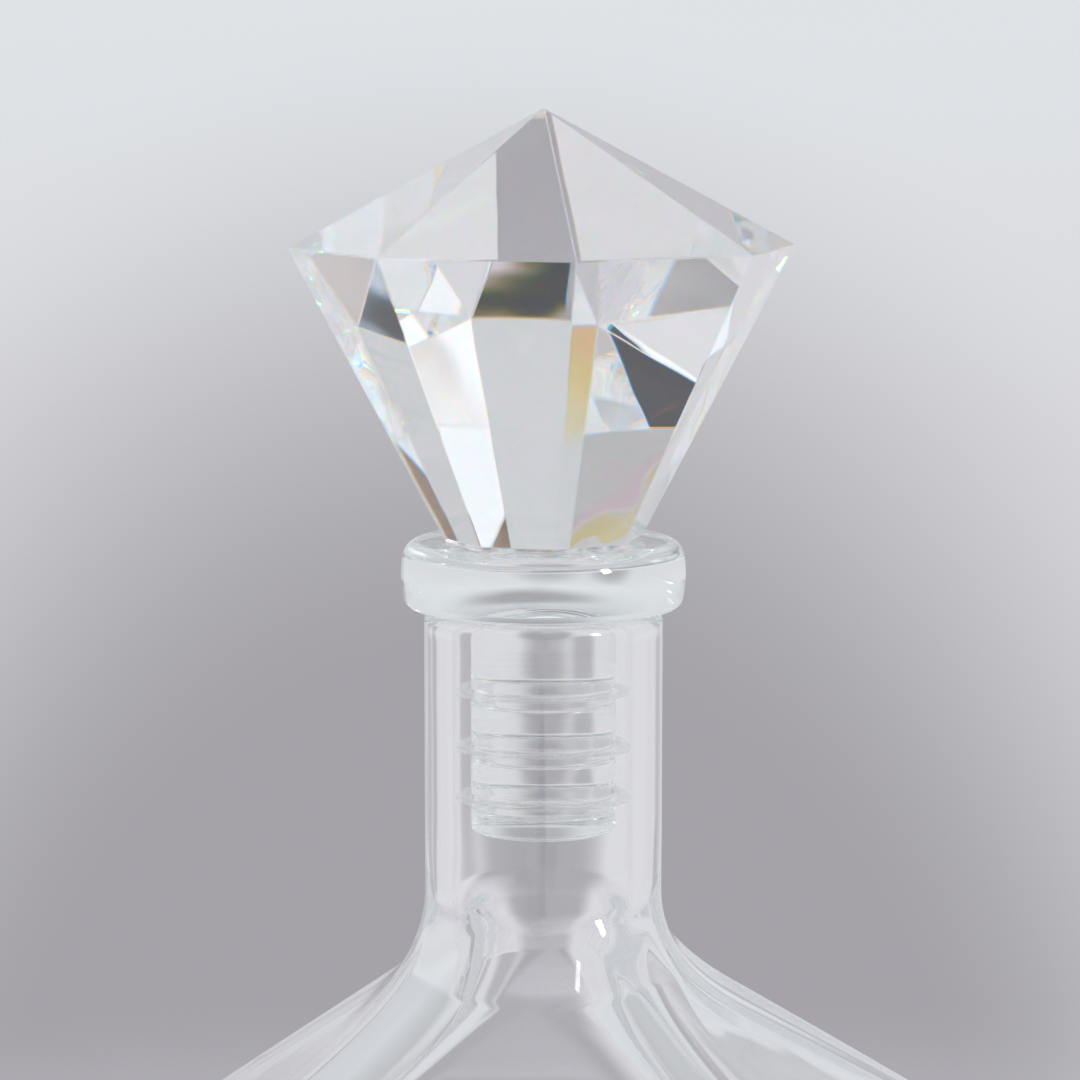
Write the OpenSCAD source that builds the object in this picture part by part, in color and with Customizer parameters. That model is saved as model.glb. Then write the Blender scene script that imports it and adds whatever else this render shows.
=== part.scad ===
/* [Bottle body] */
// Width of the square body across two opposite walls
body_side = 120; // [110:1:140]
// Height of the upright walls, up to the shoulder edge
wall_height = 75; // [60:1:110]
// Slope of each shoulder face below horizontal, in degrees
shoulder_slope = 39.4; // [35:0.2:44]
// Glass thickness in the walls and shoulders
wall = 4; // [3:0.1:5]
// Glass thickness of the floor
floor_thick = 10; // [8:0.5:14]
// Rounding of the upright corners
corner_round = 9; // [7:0.5:12]
// Depth of the shallow hollow under the base
punt_depth = 2; // [1:0.25:3]
// Width of the flat ring that the base stands on
foot_width = 16; // [10:1:22]

/* [Neck] */
// Outside diameter of the neck
neck_d = 30.2; // [29:0.1:32]
// Diameter of the bore
bore_d = 22.9; // [22.4:0.1:23.6]
// Height of the rim above the point where the shoulder faces would meet
neck_rise = 33.8; // [30:0.1:45]
// Radius of the flare that runs from the neck into the shoulder
flare_round = 14; // [10:0.5:16]

/* [Stopper shank] */
// Diameter of the collar at its widest
collar_d = 36; // [34:0.1:40]
// Height of the collar
collar_h = 8.5; // [7:0.1:12]
// Radius of the collar's bulging side, in section
collar_bulge = 14; // [12:0.5:20]
// Rounding of the collar's upper edge
collar_top_round = 2.2; // [1:0.1:2.6]
// Rounding of the collar's lower edge
collar_foot_round = 1.4; // [0.8:0.1:2]
// Diameter of the plug
plug_d = 18.4; // [17.6:0.1:19.2]
// Length of the plug below the collar
plug_h = 28.3; // [27.5:0.1:32]
// Depth of each seal groove
groove_depth = 0.5; // [0.4:0.05:0.6]
// Height of each seal groove
groove_h = 1.7; // [1.5:0.1:2]
// Gap between the collar's underside and the rim
seat_gap = 0.1; // [0.05:0.05:0.2]

/* [Stopper head] */
// Number of facets round the crown
head_sides = 8; // [6:2:12]
// Radius of the head at a girdle corner
head_r = 32; // [28:0.5:34]
// Height of the crown above the girdle
crown_h = 17.2; // [14:0.1:22]
// Height of the pavilion below the girdle
pavilion_h = 36.6; // [30:0.1:42]
// Radius of the cut base at a corner
culet_r = 12.6; // [11:0.1:14]
// Turn of the head about the axis, in degrees
head_turn = 13.2; // [0:0.1:45]
// Thickness of the cured adhesive between head and collar
bond_h = 0.3; // [0.2:0.05:0.5]

/* [Seals] */
// Thickness of each seal's fin
fin_thick = 0.4; // [0.3:0.05:0.6]
// Gap between a fin's edge and the bore
fin_gap = 0.15; // [0.1:0.05:0.3]
// Running gap between a seal and its groove
seal_gap = 0.06; // [0.04:0.01:0.1]

/* [Hidden] */

// Depth of the top of each seal groove below the collar
groove_tops = [10.0, 17.1, 23.6];
// Rounding of the rib edges and of the plug's lower edge
rib_round = 0.4;
plug_foot_round = 0.8;
// Facets of turned pieces
turned_fn = 96;
// Points along one rounded edge of a turned outline
arc_steps = 6;

body_glass = [0.86, 0.90, 0.91, 0.45];
shank_glass = [0.88, 0.91, 0.92, 0.55];
head_crystal = [0.84, 0.87, 0.92, 0.60];
clear_silicone = [0.93, 0.94, 0.94, 0.60];
cured_adhesive = [0.80, 0.82, 0.84, 0.60];

half_side = body_side / 2;
neck_r = neck_d / 2;
bore_r = bore_d / 2;
neck_wall = neck_r - bore_r;
plug_r = plug_d / 2;
collar_r = collar_d / 2;
// Height at which the four shoulder faces would meet
peak_z = wall_height + half_side * tan(shoulder_slope);
// The same for the faces of the hollow inside
inner_peak_z = peak_z - wall / cos(shoulder_slope);
rim_z = peak_z + neck_rise;
collar_z = rim_z + seat_gap;
collar_top_z = collar_z + collar_h;
head_z = collar_top_z + bond_h;

// Points on an arc from angle a0 to a1
function arc(cx, cy, r, a0, a1) =
    [for (i = [0 : arc_steps])
        let (a = a0 + (a1 - a0) * i / arc_steps)
        [cx + r * cos(a), cy + r * sin(a)]];

// Square outline with rounded corners
module rounded_square(half, round) {
    square([2 * half, 2 * (half - round)], center = true);
    square([2 * (half - round), 2 * half], center = true);
    for (x = [-1, 1], y = [-1, 1])
        translate([x * (half - round), y * (half - round)]) circle(round, $fn = turned_fn);
}

// Square block with upright walls under a four-sided pyramid shoulder
module shoulder_block(half, peak, bottom, round) {
    rise = peak - bottom;
    intersection() {
        translate([0, 0, bottom]) linear_extrude(rise) rounded_square(half, round);
        translate([0, 0, bottom]) rotate([0, 0, 45])
            cylinder(h = rise, r1 = rise / tan(shoulder_slope) * sqrt(2), r2 = 0, $fn = 4);
    }
}

// Solid of revolution that fills the corner between a tube of radius r and the shoulder cone
module flare(r, peak, round) {
    corner_z = peak - r * tan(shoulder_slope);
    run = round * tan((90 - shoulder_slope) / 2);
    centre = [r + round, corner_z + run];
    foot = [r + run * cos(shoulder_slope), corner_z - run * sin(shoulder_slope)];
    rotate_extrude($fn = turned_fn)
        difference() {
            polygon([[0, centre.y], centre, foot, [0, foot.y]]);
            translate(centre) circle(round, $fn = turned_fn);
        }
}

module decanter_body() {
    lip = neck_wall / 2;
    neck_foot = peak_z - neck_r * 1.2;
    punt_half = half_side - foot_width;
    punt_r = (punt_half * punt_half + punt_depth * punt_depth) / (2 * punt_depth);
    color(body_glass)
        difference() {
            union() {
                shoulder_block(half_side, peak_z, 0, corner_round);
                flare(neck_r, peak_z, flare_round);
                translate([0, 0, neck_foot])
                    cylinder(h = rim_z - lip - neck_foot, r = neck_r, $fn = turned_fn);
                rotate_extrude($fn = turned_fn)
                    translate([neck_r - lip, rim_z - lip]) circle(lip, $fn = 48);
            }
            shoulder_block(half_side - wall, inner_peak_z, floor_thick, corner_round - wall / 2);
            flare(bore_r, inner_peak_z, flare_round + neck_wall);
            translate([0, 0, neck_foot - wall])
                cylinder(h = rim_z - lip - neck_foot + wall, r = bore_r, $fn = turned_fn);
            translate([0, 0, punt_depth - punt_r])
                sphere(punt_r, $fn = 192);
        }
}

// Outline of the plug's side, from its foot up to the collar
function rib_edges(top) =
    concat(arc(plug_r - rib_round, -top - groove_h - rib_round, rib_round, 0, 90),
           [[plug_r - groove_depth, -top - groove_h], [plug_r - groove_depth, -top]],
           arc(plug_r - rib_round, -top + rib_round, rib_round, -90, 0));

module stopper_shank() {
    side_x = collar_r - collar_bulge;
    foot_a = asin((collar_h / 2 - collar_foot_round) / (collar_bulge - collar_foot_round));
    top_a = asin((collar_h / 2 - collar_top_round) / (collar_bulge - collar_top_round));
    foot_reach = side_x + (collar_bulge - collar_foot_round) * cos(foot_a);
    top_reach = side_x + (collar_bulge - collar_top_round) * cos(top_a);
    outline = concat(
        [[0, -plug_h]],
        arc(plug_r - plug_foot_round, plug_foot_round - plug_h, plug_foot_round, -90, 0),
        [for (i = [len(groove_tops) - 1 : -1 : 0]) each rib_edges(groove_tops[i])],
        [[plug_r, 0]],
        arc(foot_reach, collar_foot_round, collar_foot_round, -90, -foot_a),
        arc(side_x, collar_h / 2, collar_bulge, -foot_a, top_a),
        arc(top_reach, collar_h - collar_top_round, collar_top_round, top_a, 90),
        [[0, collar_h]]);
    color(shank_glass)
        translate([0, 0, collar_z])
            rotate_extrude($fn = turned_fn) polygon(outline);
}

// Ring that sits in a groove, with one thin fin that wipes the bore
module seal(top) {
    root_r = plug_r - groove_depth + seal_gap;
    bead_top = collar_z - top - seal_gap;
    color(clear_silicone)
        rotate_extrude($fn = turned_fn)
            polygon([[root_r, bead_top - groove_h + 2 * seal_gap],
                     [plug_r, bead_top - groove_h + 2 * seal_gap],
                     [plug_r, bead_top - fin_thick],
                     [bore_r - fin_gap, bead_top - fin_thick * 0.8],
                     [bore_r - fin_gap, bead_top - fin_thick * 0.2],
                     [root_r, bead_top]]);
}

module upper_seal() seal(groove_tops[0]);

module middle_seal() seal(groove_tops[1]);

module lower_seal() seal(groove_tops[2]);

module stopper_bond() {
    color(cured_adhesive)
        translate([0, 0, collar_top_z]) rotate([0, 0, head_turn])
            cylinder(h = bond_h, r = culet_r, $fn = head_sides);
}

module stopper_head() {
    color(head_crystal)
        translate([0, 0, head_z]) rotate([0, 0, head_turn]) {
            cylinder(h = pavilion_h, r1 = culet_r, r2 = head_r, $fn = head_sides);
            translate([0, 0, pavilion_h])
                cylinder(h = crown_h, r1 = head_r, r2 = 0, $fn = head_sides);
        }
}

decanter_body();
upper_seal();
middle_seal();
lower_seal();
stopper_shank();
stopper_bond();
stopper_head();
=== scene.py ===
import math

import bmesh
import bpy
import numpy as np
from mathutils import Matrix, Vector


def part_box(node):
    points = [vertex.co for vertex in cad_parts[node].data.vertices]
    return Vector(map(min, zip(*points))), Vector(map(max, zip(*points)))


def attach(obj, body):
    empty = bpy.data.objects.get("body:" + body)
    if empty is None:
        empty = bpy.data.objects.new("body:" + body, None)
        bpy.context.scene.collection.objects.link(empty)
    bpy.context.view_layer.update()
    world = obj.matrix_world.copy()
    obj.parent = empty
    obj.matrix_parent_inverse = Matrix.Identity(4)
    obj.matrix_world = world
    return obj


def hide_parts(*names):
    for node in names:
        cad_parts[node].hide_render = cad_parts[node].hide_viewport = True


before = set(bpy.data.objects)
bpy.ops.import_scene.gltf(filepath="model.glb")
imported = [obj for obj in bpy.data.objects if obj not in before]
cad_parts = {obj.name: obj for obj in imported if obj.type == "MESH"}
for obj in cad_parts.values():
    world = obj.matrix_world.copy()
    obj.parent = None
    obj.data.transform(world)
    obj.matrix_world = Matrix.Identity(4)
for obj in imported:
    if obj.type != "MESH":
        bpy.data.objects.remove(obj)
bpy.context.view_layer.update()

MM = 0.001

# ---------------------------------------------------------------- the design, in millimetres

SHOULDER_SLOPE = math.radians(39.4)
WALL = 4.0
FLOOR_THICK = 10.0
CORNER_ROUND = 9.0
# Rounding of the ridges between the shoulder faces, outside and inside
RIDGE_ROUND = 3.2
INNER_RIDGE_ROUND = 12.0
# Width of the blend from the walls into the shoulder faces
SHOULDER_BLEND = 9.0
FOOT_ROUND = 5.0
INNER_FOOT_ROUND = 9.0
PUNT_DEPTH = 2.0
FOOT_WIDTH = 16.0
NECK_R = 15.1
BORE_R = 11.45
NECK_RISE = 33.8
# Width of the blend from the neck into the shoulder, outside and inside
FLARE = 10.0
INNER_FLARE = 11.0

COLLAR_H = 8.5
COLLAR_BULGE = 14.0
COLLAR_TOP_ROUND = 2.2
COLLAR_FOOT_ROUND = 1.4
PLUG_R = 9.2
GROOVE_TOPS = (10.0, 17.1, 23.6)
GROOVE_H = 1.7
GROOVE_DEPTH = 0.5
RIB_ROUND = 0.4
PLUG_FOOT_ROUND = 0.8

HEAD_SIDES = 8
HEAD_TURN = math.radians(13.2)
CROWN_H = 17.2
CULET_R = 12.6
# Width of the polished edges of the cut head
EDGE_POLISH = 0.14

FIN_THICK = 0.4
FIN_GAP = 0.15
SEAL_GAP = 0.06


def reach(node):
    """Largest distance of a CAD node from the axis, in millimetres."""
    return max(math.hypot(v.co.x, v.co.y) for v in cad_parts[node].data.vertices) / MM


body_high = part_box("decanter_body")[1]
shank_low, shank_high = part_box("stopper_shank")
head_low, head_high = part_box("stopper_head")
HALF_SIDE = body_high.x / MM
RIM_Z = body_high.z / MM
PEAK_Z = RIM_Z - NECK_RISE
INNER_PEAK_Z = PEAK_Z - WALL / math.cos(SHOULDER_SLOPE)
COLLAR_R = reach("stopper_shank")
COLLAR_TOP_Z = shank_high.z / MM
COLLAR_Z = COLLAR_TOP_Z - COLLAR_H
PLUG_FOOT_Z = shank_low.z / MM
HEAD_R = reach("stopper_head")
HEAD_FOOT_Z = head_low.z / MM
APEX_Z = head_high.z / MM
GIRDLE_Z = APEX_Z - CROWN_H

# ---------------------------------------------------------------- mesh helpers


def new_object(name, verts, faces, material, smooth=True):
    mesh = bpy.data.meshes.new(name)
    mesh.from_pydata([tuple(v) for v in verts], [], [tuple(f) for f in faces])
    mesh.materials.append(material)
    mesh.polygons.foreach_set("use_smooth", [smooth] * len(mesh.polygons))
    mesh.update()
    obj = bpy.data.objects.new(name, mesh)
    bpy.context.scene.collection.objects.link(obj)
    return obj


def ring_mesh(name, rings, material):
    """Closed skin over rings of points, the first and the last of which close on the axis.

    rings has the shape (rows, points round, 3), in millimetres, and rows run up the outside."""
    rows, around = rings.shape[:2]
    first = rings[0].mean(axis=0)
    last = rings[-1].mean(axis=0)
    verts = np.concatenate([rings.reshape(-1, 3), [first, last]]) * MM
    low, high = rows * around, rows * around + 1
    j = np.arange(around)
    nxt = (j + 1) % around
    i = np.arange(rows - 1)[:, None] * around
    quads = np.stack([i + j, i + nxt, i + around + nxt, i + around + j], axis=-1).reshape(-1, 4)
    top = (rows - 1) * around
    faces = quads.tolist()
    faces += np.stack([np.full(around, low), nxt, j], axis=-1).tolist()
    faces += np.stack([np.full(around, high), top + j, top + nxt], axis=-1).tolist()
    return new_object(name, verts, faces, material)


def arc(cx, cy, radius, start, end, steps):
    """Points on an arc, with angles in degrees."""
    a = np.radians(np.linspace(start, end, steps + 1))
    return [(cx + radius * math.cos(t), cy + radius * math.sin(t)) for t in a]


def turned(name, outline, around, material):
    """Solid of revolution from an outline of (radius, height), from its foot up to its top."""
    theta = np.linspace(0, 2 * math.pi, around, endpoint=False)
    rings = np.empty((len(outline), around, 3))
    for i, (radius, height) in enumerate(outline):
        rings[i, :, 0] = radius * np.cos(theta)
        rings[i, :, 1] = radius * np.sin(theta)
        rings[i, :, 2] = height
    return ring_mesh(name, rings, material)


def dense(points, longest):
    """The same outline with no stretch longer than a given length."""
    out = [points[0]]
    for a, b in zip(points, points[1:]):
        steps = max(1, math.ceil(math.dist(a, b) / longest))
        out += [(a[0] + (b[0] - a[0]) * k / steps, a[1] + (b[1] - a[1]) * k / steps)
                for k in range(1, steps + 1)]
    return out


# ---------------------------------------------------------------- materials


def material_nodes(name):
    material = bpy.data.materials.new(name)
    material.use_nodes = True
    nodes, links = material.node_tree.nodes, material.node_tree.links
    nodes.clear()
    out = nodes.new("ShaderNodeOutputMaterial")
    return material, nodes, links, out


def wavy_bump(nodes, links, size, depth, detail=1.0):
    """Normals of a surface that is polished but not quite flat. size is the ripples' length in metres."""
    coord = nodes.new("ShaderNodeTexCoord")
    ripple = nodes.new("ShaderNodeTexNoise")
    ripple.inputs["Scale"].default_value = 1 / size
    ripple.inputs["Detail"].default_value = detail
    bump = nodes.new("ShaderNodeBump")
    bump.inputs["Strength"].default_value = 1.0
    bump.inputs["Distance"].default_value = depth
    links.new(coord.outputs["Object"], ripple.inputs["Vector"])
    links.new(ripple.outputs["Fac"], bump.inputs["Height"])
    return bump.outputs["Normal"]


def clear_glass(name, ior, tint, density, ripple_size, ripple_depth):
    """Solid clear glass: one shader that bends and mirrors, and a faint colour that grows with depth."""
    material, nodes, links, out = material_nodes(name)
    shader = nodes.new("ShaderNodeBsdfPrincipled")
    shader.inputs["Base Color"].default_value = (1, 1, 1, 1)
    shader.inputs["Transmission Weight"].default_value = 1.0
    shader.inputs["Roughness"].default_value = 0.0
    shader.inputs["IOR"].default_value = ior
    depth_tint = nodes.new("ShaderNodeVolumeAbsorption")
    depth_tint.inputs["Color"].default_value = (*tint, 1)
    depth_tint.inputs["Density"].default_value = density
    links.new(wavy_bump(nodes, links, ripple_size, ripple_depth), shader.inputs["Normal"])
    links.new(shader.outputs[0], out.inputs["Surface"])
    links.new(depth_tint.outputs[0], out.inputs["Volume"])
    return material


def cut_crystal(name, ior, spread, ripple_size, ripple_depth):
    """Crystal that bends warm light a little less than cool light, which colours the edges of dark shapes.

    Only light that passes through a facet is split. Light that is mirrored at a facet stays white."""
    material, nodes, links, out = material_nodes(name)
    normal = wavy_bump(nodes, links, ripple_size, ripple_depth)
    bent = nodes.new("ShaderNodeAddShader")
    for socket, shift, colour in ((0, -spread, (1, 0.5, 0, 1)), (1, spread, (0, 0.5, 1, 1))):
        part = nodes.new("ShaderNodeBsdfRefraction")
        part.inputs["Color"].default_value = colour
        part.inputs["Roughness"].default_value = 0.0
        part.inputs["IOR"].default_value = ior + shift
        links.new(normal, part.inputs["Normal"])
        links.new(part.outputs[0], bent.inputs[socket])
    mirror = nodes.new("ShaderNodeBsdfGlossy")
    mirror.inputs["Color"].default_value = (1, 1, 1, 1)
    mirror.inputs["Roughness"].default_value = 0.0
    share = nodes.new("ShaderNodeFresnel")
    share.inputs["IOR"].default_value = ior
    surface = nodes.new("ShaderNodeMixShader")
    links.new(normal, mirror.inputs["Normal"])
    links.new(normal, share.inputs["Normal"])
    links.new(share.outputs[0], surface.inputs["Fac"])
    links.new(bent.outputs[0], surface.inputs[1])
    links.new(mirror.outputs[0], surface.inputs[2])
    links.new(surface.outputs[0], out.inputs["Surface"])
    return material


def soft_silicone(name):
    """Clear silicone, thin enough that most light goes straight through it."""
    material, nodes, links, out = material_nodes(name)
    shader = nodes.new("ShaderNodeBsdfPrincipled")
    shader.inputs["Base Color"].default_value = (0.97, 0.98, 0.98, 1)
    shader.inputs["Transmission Weight"].default_value = 1.0
    shader.inputs["Roughness"].default_value = 0.03
    shader.inputs["IOR"].default_value = 1.41
    shader.inputs["Alpha"].default_value = 0.35
    links.new(wavy_bump(nodes, links, 0.0015, 0.00001, 3.0), shader.inputs["Normal"])
    links.new(shader.outputs[0], out.inputs["Surface"])
    return material


def cured_adhesive(name):
    """Clear cured film with dust and tiny bubbles caught in it."""
    material, nodes, links, out = material_nodes(name)
    coord = nodes.new("ShaderNodeTexCoord")
    specks = nodes.new("ShaderNodeTexNoise")
    specks.inputs["Scale"].default_value = 1100.0
    specks.inputs["Detail"].default_value = 6.0
    patches = nodes.new("ShaderNodeTexNoise")
    patches.inputs["Scale"].default_value = 160.0
    patches.inputs["Detail"].default_value = 3.0
    both = nodes.new("ShaderNodeMath")
    both.operation = "MULTIPLY"
    ramp = nodes.new("ShaderNodeValToRGB")
    ramp.color_ramp.elements[0].position = 0.24
    ramp.color_ramp.elements[0].color = (1, 1, 1, 1)
    ramp.color_ramp.elements[1].position = 0.34
    ramp.color_ramp.elements[1].color = (0.30, 0.31, 0.33, 1)
    shader = nodes.new("ShaderNodeBsdfPrincipled")
    shader.inputs["Transmission Weight"].default_value = 1.0
    shader.inputs["Roughness"].default_value = 0.05
    shader.inputs["IOR"].default_value = 1.48
    links.new(coord.outputs["Object"], specks.inputs["Vector"])
    links.new(coord.outputs["Object"], patches.inputs["Vector"])
    links.new(specks.outputs["Fac"], both.inputs[0])
    links.new(patches.outputs["Fac"], both.inputs[1])
    links.new(both.outputs[0], ramp.inputs["Fac"])
    links.new(ramp.outputs["Color"], shader.inputs["Base Color"])
    links.new(shader.outputs[0], out.inputs["Surface"])
    return material


BODY_GLASS = clear_glass("body_glass", 1.50, (0.72, 0.90, 0.84), 2.2, 0.016, 0.00006)
SHANK_GLASS = clear_glass("shank_glass", 1.50, (0.72, 0.90, 0.84), 2.2, 0.010, 0.00003)
HEAD_CRYSTAL = cut_crystal("head_crystal", 1.53, 0.008, 0.015, 0.00008)
CLEAR_SILICONE = soft_silicone("clear_silicone")
CLEAR_ADHESIVE = cured_adhesive("clear_adhesive")

# ---------------------------------------------------------------- bottle


def smooth_min(a, b, k):
    """The smaller of a and b, blended where they differ by less than k."""
    return np.minimum(a, b) - np.maximum(k - np.abs(a - b), 0) ** 2 / (4 * k)


def smooth_max(a, b, k):
    """The larger of a and b, blended where they differ by less than k."""
    return np.maximum(a, b) + np.maximum(k - np.abs(a - b), 0) ** 2 / (4 * k)


def square_reach(theta, half, corner):
    """Distance from the axis to the side of a square with rounded corners."""
    c = np.abs(np.cos(theta))
    s = np.abs(np.sin(theta))
    c, s = np.maximum(c, s), np.minimum(c, s)
    corner = np.minimum(corner, half)
    inner = half - corner
    flat = half / c
    along = (c + s) * inner
    rounded = along + np.sqrt(np.maximum(along ** 2 - 2 * inner ** 2 + corner ** 2, 0))
    return np.where(flat * s <= inner, flat, rounded)


def skin_reach(theta, z, half_side, corner, peak, tube, ridge, flare):
    """Distance from the axis to one skin of the bottle at height z: walls, shoulder, flare and neck."""
    fall = math.tan(SHOULDER_SLOPE)
    depth = np.maximum(peak - z, 0.5) / fall
    half = smooth_min(np.full_like(depth, half_side), depth, SHOULDER_BLEND)
    share = half / half_side
    side = square_reach(theta, half, ridge + (corner - ridge) * share ** 2)
    lean = side / half / fall
    return smooth_max(np.full_like(side, tube), side, flare * lean)


def ripple(theta, z, seed, size):
    """Slow unevenness of blown glass, from -1 to 1."""
    out = 0
    for k, (turns, waves) in enumerate(((2, 0.9), (3, 1.7), (5, 2.3), (7, 3.1))):
        phase = seed * 1.7 + k * 2.1
        out = out + np.sin(turns * theta + phase + waves * z / size) / (1 + k)
    return out / 2.1


def ring_at(theta, radius, z):
    """One ring of points at the given distances from the axis and heights."""
    return np.stack([radius * np.cos(theta), radius * np.sin(theta),
                     np.broadcast_to(z, theta.shape)], axis=-1)


def build_bottle():
    around = 384
    even = np.linspace(0, 2 * math.pi, around, endpoint=False)
    theta = even + 0.8 / 4 * np.sin(4 * even)
    lip = (NECK_R - BORE_R) / 2
    lip_z = RIM_Z - lip

    def outer(z):
        r = skin_reach(theta, np.full_like(theta, z), HALF_SIDE, CORNER_ROUND, PEAK_Z, NECK_R,
                       RIDGE_ROUND, FLARE)
        calm = np.clip((PEAK_Z + 4 - z) / 16, 0, 1)
        return r - 0.10 * calm * (1 + ripple(theta, z, 1, 38))

    def inner(z):
        r = skin_reach(theta, np.full_like(theta, z), HALF_SIDE - WALL, CORNER_ROUND - WALL / 2,
                       INNER_PEAK_Z, BORE_R, INNER_RIDGE_ROUND, INNER_FLARE)
        calm = np.clip((PEAK_Z + 6 - z) / 16, 0, 1)
        return r + 0.30 * calm * ripple(theta, z, 4, 26)

    rows = []
    wall_foot = outer(FOOT_ROUND)
    punt_half = HALF_SIDE - FOOT_WIDTH
    for share in np.linspace(0.02, 1, 30):
        r = (wall_foot - FOOT_ROUND) * share
        hollow = np.clip(1 - (r / punt_half) ** 2, 0, 1)
        rows.append(ring_at(theta, r, PUNT_DEPTH * hollow ** 1.5))
    for a in np.radians(np.linspace(-84, 0, 12)):
        rows.append(ring_at(theta, wall_foot - FOOT_ROUND * (1 - math.cos(a)),
                            FOOT_ROUND * (1 + math.sin(a))))
    edge_z = PEAK_Z - HALF_SIDE * math.tan(SHOULDER_SLOPE)
    flare_z = PEAK_Z - 26
    outside = np.concatenate([np.linspace(FOOT_ROUND + 2, edge_z - 12, 24),
                              np.linspace(edge_z - 11, edge_z + 12, 40),
                              np.linspace(edge_z + 13, flare_z, 24),
                              np.linspace(flare_z + 0.4, PEAK_Z + 5, 90),
                              np.linspace(PEAK_Z + 6, lip_z, 24)])
    rows += [ring_at(theta, outer(z), z) for z in outside]
    for r, z in arc(NECK_R - lip, lip_z, lip, 0, 180, 24)[1:]:
        rows.append(ring_at(theta, np.full_like(theta, r), z))
    floor_z = FLOOR_THICK + INNER_FOOT_ROUND
    inner_edge = INNER_PEAK_Z - (HALF_SIDE - WALL) * math.tan(SHOULDER_SLOPE)
    inner_flare = INNER_PEAK_Z - 26
    inside = np.concatenate([np.linspace(lip_z - 1, PEAK_Z + 5, 24),
                             np.linspace(PEAK_Z + 4.6, inner_flare, 100),
                             np.linspace(inner_flare - 1, inner_edge + 12, 22),
                             np.linspace(inner_edge + 11, inner_edge - 12, 40),
                             np.linspace(inner_edge - 13, floor_z, 20)])
    rows += [ring_at(theta, inner(z), z) for z in inside]
    wall_floor = inner(floor_z)
    for a in np.radians(np.linspace(-4, -88, 14)):
        rows.append(ring_at(theta, wall_floor - INNER_FOOT_ROUND * (1 - math.cos(a)),
                            floor_z + INNER_FOOT_ROUND * math.sin(a)))
    for share in np.linspace(0.96, 0.02, 26):
        r = (wall_floor - INNER_FOOT_ROUND) * share
        dome = np.clip(1 - (r / (HALF_SIDE - WALL)) ** 2, 0, 1)
        rows.append(ring_at(theta, r, FLOOR_THICK + 1.2 * dome ** 2 * (1 - share ** 2)))
    bottle = ring_mesh("bottle", np.array(rows), BODY_GLASS)
    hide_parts("decanter_body")
    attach(bottle, "decanter")


# ---------------------------------------------------------------- stopper


def shank_outline():
    side_x = COLLAR_R - COLLAR_BULGE
    foot_a = math.asin((COLLAR_H / 2 - COLLAR_FOOT_ROUND) / (COLLAR_BULGE - COLLAR_FOOT_ROUND))
    top_a = math.asin((COLLAR_H / 2 - COLLAR_TOP_ROUND) / (COLLAR_BULGE - COLLAR_TOP_ROUND))
    foot_x = side_x + (COLLAR_BULGE - COLLAR_FOOT_ROUND) * math.cos(foot_a)
    top_x = side_x + (COLLAR_BULGE - COLLAR_TOP_ROUND) * math.cos(top_a)
    foot_a, top_a = math.degrees(foot_a), math.degrees(top_a)
    out = [(0.2, PLUG_FOOT_Z)]
    out += arc(PLUG_R - PLUG_FOOT_ROUND, PLUG_FOOT_Z + PLUG_FOOT_ROUND, PLUG_FOOT_ROUND, -90, 0, 10)
    for depth in reversed(GROOVE_TOPS):
        top = COLLAR_Z - depth
        root = PLUG_R - GROOVE_DEPTH
        foot = top - GROOVE_H
        out += arc(PLUG_R - RIB_ROUND, foot - RIB_ROUND, RIB_ROUND, 0, 78, 8)
        out += arc(root + 0.25, foot + 0.25, 0.25, 250, 180, 5)
        out += arc(root + 0.25, top - 0.25, 0.25, 180, 110, 5)
        out += arc(PLUG_R - RIB_ROUND, top + RIB_ROUND, RIB_ROUND, -78, 0, 8)
    out += arc(PLUG_R + 0.6, COLLAR_Z - 0.6, 0.6, 180, 90, 6)
    out += arc(foot_x, COLLAR_Z + COLLAR_FOOT_ROUND, COLLAR_FOOT_ROUND, -90, -foot_a, 14)
    out += arc(side_x, COLLAR_Z + COLLAR_H / 2, COLLAR_BULGE, -foot_a, top_a, 30)[1:]
    out += arc(top_x, COLLAR_TOP_Z - COLLAR_TOP_ROUND, COLLAR_TOP_ROUND, top_a, 90, 18)[1:]
    out += [(0.2, COLLAR_TOP_Z)]
    return out


def build_shank():
    shank = turned("shank", dense(shank_outline(), 0.8), 256, SHANK_GLASS)
    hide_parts("stopper_shank")
    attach(shank, "stopper")


def ngon(radius, z):
    """Corners of the head's outline at height z, in metres."""
    return [Vector((radius * math.cos(a), radius * math.sin(a), z)) * MM
            for a in (HEAD_TURN + 2 * math.pi * k / HEAD_SIDES for k in range(HEAD_SIDES))]


def build_head():
    bm = bmesh.new()
    foot = [bm.verts.new(v) for v in ngon(CULET_R, HEAD_FOOT_Z)]
    girdle = [bm.verts.new(v) for v in ngon(HEAD_R, GIRDLE_Z)]
    apex = bm.verts.new(Vector((0, 0, APEX_Z)) * MM)
    bm.faces.new(list(reversed(foot)))
    for k in range(HEAD_SIDES):
        n = (k + 1) % HEAD_SIDES
        bm.faces.new([foot[k], foot[n], girdle[n], girdle[k]])
        bm.faces.new([girdle[k], girdle[n], apex])
    bmesh.ops.bevel(bm, geom=list(bm.edges), offset=EDGE_POLISH * MM, segments=2,
                    profile=0.5, affect="EDGES")
    mesh = bpy.data.meshes.new("crystal_head")
    bm.normal_update()
    bm.to_mesh(mesh)
    bm.free()
    mesh.materials.append(HEAD_CRYSTAL)
    head = bpy.data.objects.new("crystal_head", mesh)
    bpy.context.scene.collection.objects.link(head)
    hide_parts("stopper_head")
    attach(head, "stopper")


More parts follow.
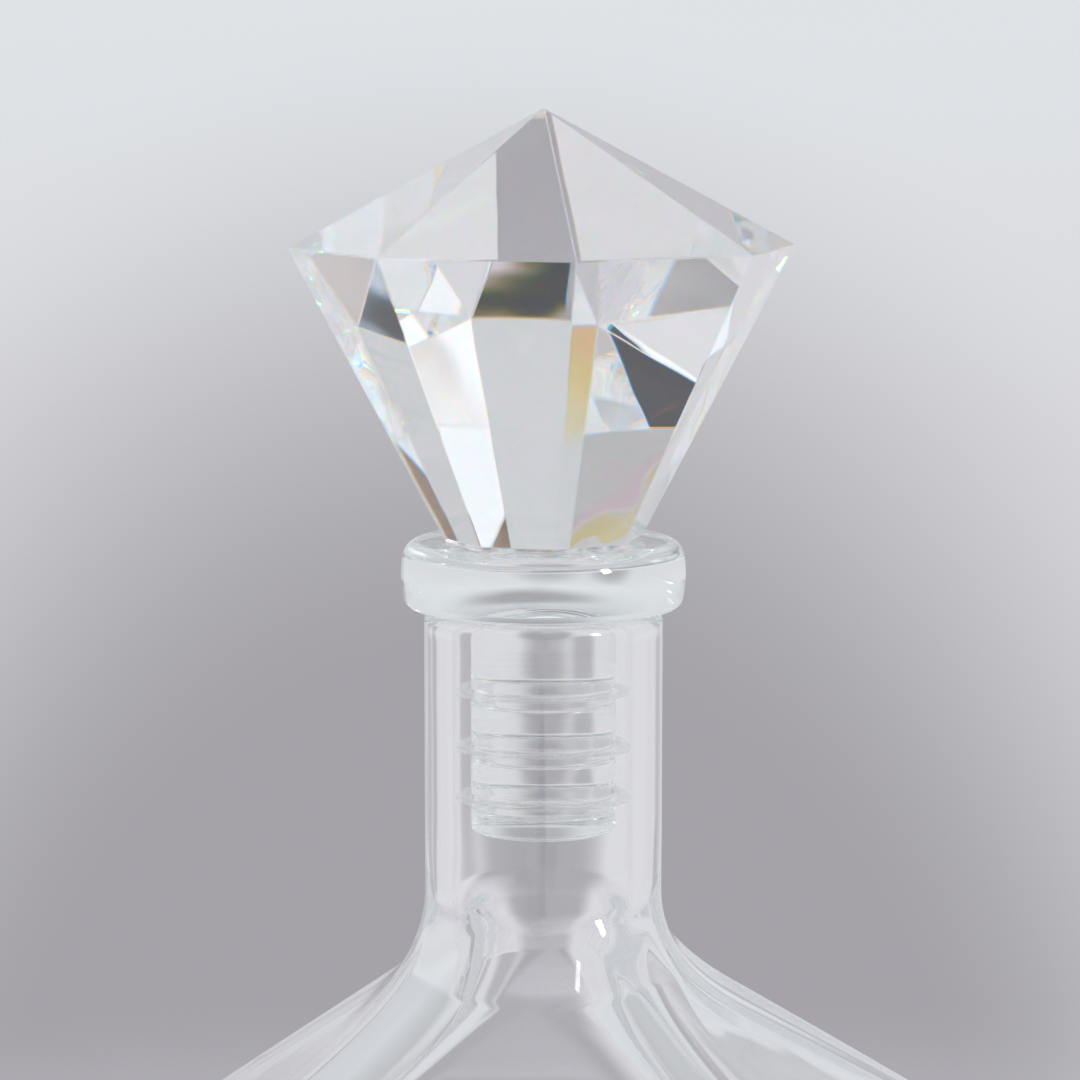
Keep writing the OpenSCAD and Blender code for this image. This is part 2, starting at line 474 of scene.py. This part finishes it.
def build_bond():
    inset = 0.25
    low, high = COLLAR_TOP_Z + 0.02, HEAD_FOOT_Z - 0.02
    verts = ngon(CULET_R - inset, low) + ngon(CULET_R - inset, high)
    n = HEAD_SIDES
    faces = [list(range(n))[::-1], list(range(n, 2 * n))]
    faces += [[k, (k + 1) % n, n + (k + 1) % n, n + k] for k in range(n)]
    bond = new_object("bond_film", verts, faces, CLEAR_ADHESIVE, smooth=False)
    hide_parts("stopper_bond")
    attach(bond, "stopper")


def build_seal(name, node, depth, seed):
    """Ring with a bead in the groove and one thin fin, a little uneven at its edge."""
    root = PLUG_R - GROOVE_DEPTH + SEAL_GAP
    top = COLLAR_Z - depth - SEAL_GAP
    foot = top - GROOVE_H + 2 * SEAL_GAP
    tip = BORE_R - FIN_GAP
    outline = dense([(root, top), (root, foot), (PLUG_R - 0.1, foot), (PLUG_R - 0.1, top - FIN_THICK),
                     (PLUG_R, top - FIN_THICK * 0.6), (tip, top - FIN_THICK * 0.5),
                     (tip, top - FIN_THICK * 0.3)], 0.3)
    around = 192
    theta = np.linspace(0, 2 * math.pi, around, endpoint=False)
    verts = []
    for radius, height in outline:
        out = (radius - root) / (tip - root)
        sag = -0.06 * out * (1 + ripple(theta, 0, seed, 1)) * (radius > PLUG_R)
        trim = -0.08 * out * (1 + ripple(theta, 0, seed + 5, 1)) * (radius > PLUG_R)
        r = radius + trim
        verts.append(np.stack([r * np.cos(theta), r * np.sin(theta), height + sag], axis=-1))
    verts = np.array(verts).reshape(-1, 3) * MM
    rows = len(outline)
    faces = []
    for i in range(rows):
        for j in range(around):
            k, n = (i + 1) % rows, (j + 1) % around
            faces.append((i * around + j, i * around + n, k * around + n, k * around + j))
    ring = new_object(name, verts, faces, CLEAR_SILICONE)
    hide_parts(node)
    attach(ring, "seals")


# ---------------------------------------------------------------- studio

# Turn of the photograph's camera round the bottle. The studio's light is laid out from it.
VIEW_TURN = math.radians(6.4)
# Focal length over the width of the picture, and the width of the sensor in millimetres
FOCAL_RATIO = 3700 / 1080
SENSOR_WIDTH = 36.0
# Distances from the axis between which the floor fades out, in metres
FLOOR_FADE = (0.12, 0.42)

# Colour of the studio's even light by elevation in degrees
STUDIO_RAMP = ((-90, (0.50, 0.49, 0.51)), (-40, (0.62, 0.61, 0.64)), (-22, (0.73, 0.73, 0.76)),
               (-6, (0.70, 0.70, 0.73)), (1, (0.74, 0.77, 0.80)), (25, (0.62, 0.64, 0.67)),
               (60, (0.50, 0.51, 0.53)), (90, (0.36, 0.36, 0.38)))

# Each soft patch: colour, azimuth, elevation, half-width and half-height in degrees, and where its
# soft edge begins. Azimuth runs to the right from straight ahead of the camera.
BACKDROP = (0.375, 0.365, 0.395)
FRONT_PATCHES = (
    (BACKDROP, -1, -20, 15, 21, 0.5),
    ((0.42, 0.415, 0.44), -19, -9, 10, 9, 0.3),
    ((0.40, 0.395, 0.42), 4, 12, 26, 12, 0.3),
    ((0.62, 0.36, 0.15), 10, 38, 6, 5, 0.5),
)
# Backdrops of the other sides, seen directly and straight through the glass
SIDE_PATCHES = (
    (BACKDROP, -84, -20, 24, 21, 0.4),
    (BACKDROP, 96, -20, 24, 21, 0.4),
    (BACKDROP, -174, -20, 24, 21, 0.4),
)
# Cards that only show where a surface mirrors them
CARD_PATCHES = (
    ((0.33, 0.27, 0.24), 82, -38, 7, 6, 0.5),
    ((0.34, 0.335, 0.35), -160, -12, 22, 10, 0.5),
    ((0.07, 0.07, 0.08), -168, -20, 11, 8, 0.6),
    ((0.03, 0.03, 0.04), -178, -13, 6, 3.6, 0.6),
    ((0.008, 0.008, 0.011), -177, -1, 12, 5, 0.6),
    ((1.00, 1.05, 1.12), 160, -27, 24, 12, 0.75),
    ((0.92, 0.97, 1.02), 112, 30, 13, 16, 0.5),
    ((0.45, 0.45, 0.46), -141, 42, 16, 10, 0.4),
    ((0.24, 0.16, 0.12), 159, 52, 10, 9, 0.5),
)


def seen_from_camera(azimuth, elevation):
    """Direction in degrees: azimuth runs to the right from straight ahead of the camera."""
    a, e = math.radians(azimuth), math.radians(elevation)
    ahead = Vector((-math.sin(VIEW_TURN), math.cos(VIEW_TURN), 0))
    right = Vector((math.cos(VIEW_TURN), math.sin(VIEW_TURN), 0))
    return (ahead * math.cos(a) + right * math.sin(a)) * math.cos(e) + Vector((0, 0, math.sin(e)))


def soft_patch(nodes, links, ground, colour, azimuth, elevation, width, height, edge):
    """Lays one soft oval of another brightness over the studio's light. Sizes are half-sizes in degrees."""
    coord = nodes.new("ShaderNodeTexCoord")
    away = nodes.new("ShaderNodeVectorMath")
    away.operation = "SUBTRACT"
    away.inputs[1].default_value = seen_from_camera(azimuth, elevation)
    squeezed = nodes.new("ShaderNodeVectorMath")
    squeezed.operation = "MULTIPLY"
    squeezed.inputs[1].default_value = (1, 1, width / height)
    size = nodes.new("ShaderNodeVectorMath")
    size.operation = "LENGTH"
    cover = nodes.new("ShaderNodeMapRange")
    cover.interpolation_type = "SMOOTHSTEP"
    cover.inputs["From Min"].default_value = math.radians(width) * edge
    cover.inputs["From Max"].default_value = math.radians(width)
    cover.inputs["To Min"].default_value = 1
    cover.inputs["To Max"].default_value = 0
    mix = nodes.new("ShaderNodeMix")
    mix.data_type = "RGBA"
    mix.inputs["B"].default_value = (*colour, 1)
    links.new(coord.outputs["Generated"], away.inputs[0])
    links.new(away.outputs[0], squeezed.inputs[0])
    links.new(squeezed.outputs[0], size.inputs[0])
    links.new(size.outputs["Value"], cover.inputs["Value"])
    links.new(cover.outputs[0], mix.inputs["Factor"])
    links.new(ground, mix.inputs["A"])
    return mix.outputs["Result"]


def studio_world():
    """Even pale light with a soft grey backdrop on each side, and a few cards for the facets to mirror."""
    world = bpy.data.worlds.new("studio")
    bpy.context.scene.world = world
    world.use_nodes = True
    nodes, links = world.node_tree.nodes, world.node_tree.links
    nodes.clear()
    coord = nodes.new("ShaderNodeTexCoord")
    split = nodes.new("ShaderNodeSeparateXYZ")
    height = nodes.new("ShaderNodeMapRange")
    height.inputs["From Min"].default_value = -1
    height.inputs["From Max"].default_value = 1
    ramp = nodes.new("ShaderNodeValToRGB")
    elements = ramp.color_ramp.elements
    while len(elements) < len(STUDIO_RAMP):
        elements.new(0.5)
    for element, (elevation, colour) in zip(elements, STUDIO_RAMP):
        element.position = (1 + math.sin(math.radians(elevation))) / 2
        element.color = (*colour, 1)
    links.new(coord.outputs["Generated"], split.inputs[0])
    links.new(split.outputs["Z"], height.inputs["Value"])
    links.new(height.outputs[0], ramp.inputs["Fac"])
    ground = ramp.outputs["Color"]
    for patch in FRONT_PATCHES:
        ground = soft_patch(nodes, links, ground, *patch)
    plain, mirrored = ground, ground
    for patch in SIDE_PATCHES:
        plain = soft_patch(nodes, links, plain, *patch)
    for patch in CARD_PATCHES:
        mirrored = soft_patch(nodes, links, mirrored, *patch)
    path = nodes.new("ShaderNodeLightPath")
    choice = nodes.new("ShaderNodeMix")
    choice.data_type = "RGBA"
    links.new(path.outputs["Glossy Depth"], choice.inputs["Factor"])
    links.new(plain, choice.inputs["A"])
    links.new(mirrored, choice.inputs["B"])
    ground = choice.outputs["Result"]
    background = nodes.new("ShaderNodeBackground")
    out = nodes.new("ShaderNodeOutputWorld")
    links.new(ground, background.inputs["Color"])
    links.new(background.outputs[0], out.inputs["Surface"])


def build_floor():
    """Pale floor that fades into the studio's own light away from the object. It gives off a faint glow of
    its own, painted light that lifts the shade the glass casts on it.
    """
    bm = bmesh.new()
    bmesh.ops.create_circle(bm, cap_ends=True, segments=96, radius=1.0)
    mesh = bpy.data.meshes.new("floor")
    bm.to_mesh(mesh)
    bm.free()
    material, nodes, links, out = material_nodes("pale_floor")
    shader = nodes.new("ShaderNodeBsdfPrincipled")
    shader.inputs["Base Color"].default_value = (0.36, 0.355, 0.37, 1)
    shader.inputs["Roughness"].default_value = 0.6
    # Painted light: the floor glows faintly of its own, which lifts the shade under the glass
    shader.inputs["Emission Color"].default_value = (0.42, 0.41, 0.44, 1)
    shader.inputs["Emission Strength"].default_value = 1.0
    clear = nodes.new("ShaderNodeBsdfTransparent")
    mix = nodes.new("ShaderNodeMixShader")
    coord = nodes.new("ShaderNodeTexCoord")
    far = nodes.new("ShaderNodeVectorMath")
    far.operation = "LENGTH"
    fade = nodes.new("ShaderNodeMapRange")
    fade.interpolation_type = "SMOOTHSTEP"
    fade.inputs["From Min"].default_value = FLOOR_FADE[0]
    fade.inputs["From Max"].default_value = FLOOR_FADE[1]
    links.new(coord.outputs["Object"], far.inputs[0])
    links.new(far.outputs["Value"], fade.inputs["Value"])
    links.new(fade.outputs[0], mix.inputs["Fac"])
    links.new(shader.outputs[0], mix.inputs[1])
    links.new(clear.outputs[0], mix.inputs[2])
    links.new(mix.outputs[0], out.inputs["Surface"])
    mesh.materials.append(material)
    floor = bpy.data.objects.new("floor", mesh)
    bpy.context.scene.collection.objects.link(floor)


def softbox(name, place, target, size, power):
    light = bpy.data.lights.new(name, "AREA")
    light.shape = "RECTANGLE"
    light.size, light.size_y = size
    light.energy = power
    lamp = bpy.data.objects.new(name, light)
    bpy.context.scene.collection.objects.link(lamp)
    lamp.location = place
    lamp.rotation_euler = (Vector(target) - Vector(place)).to_track_quat("-Z", "Y").to_euler()


def build_studio():
    studio_world()
    build_floor()
    middle = (0, 0, 0.17)
    softbox("key_right", (0.76, -0.46, 0.44), middle, (0.12, 0.30), 4.0)


def build_camera():
    """The view of the photograph: the stopper and neck fill the frame, seen from slightly above."""
    distance = 0.4626
    rise = 0.0258
    tilt = math.radians(7.727)
    pan = math.radians(-0.053)
    data = bpy.data.cameras.new("camera")
    data.sensor_width = SENSOR_WIDTH
    data.lens = FOCAL_RATIO * SENSOR_WIDTH
    data.clip_start = 0.01
    data.clip_end = 100
    camera = bpy.data.objects.new("camera", data)
    bpy.context.scene.collection.objects.link(camera)
    camera.location = (distance * math.sin(VIEW_TURN), -distance * math.cos(VIEW_TURN),
                       GIRDLE_Z * MM + rise)
    camera.rotation_euler = (math.pi / 2 - tilt, 0, VIEW_TURN - pan)
    bpy.context.scene.camera = camera


def set_light_paths():
    scene = bpy.context.scene
    scene.view_settings.view_transform = "Standard"
    scene.cycles.max_bounces = 48
    scene.cycles.transmission_bounces = 48
    scene.cycles.glossy_bounces = 48
    scene.cycles.transparent_max_bounces = 16


build_bottle()
build_shank()
build_head()
build_bond()
for seed, (name, node, depth) in enumerate(zip(("seal_upper", "seal_middle", "seal_lower"),
                                               ("upper_seal", "middle_seal", "lower_seal"),
                                               GROOVE_TOPS)):
    build_seal(name, node, depth, seed)
build_studio()
build_camera()
set_light_paths()
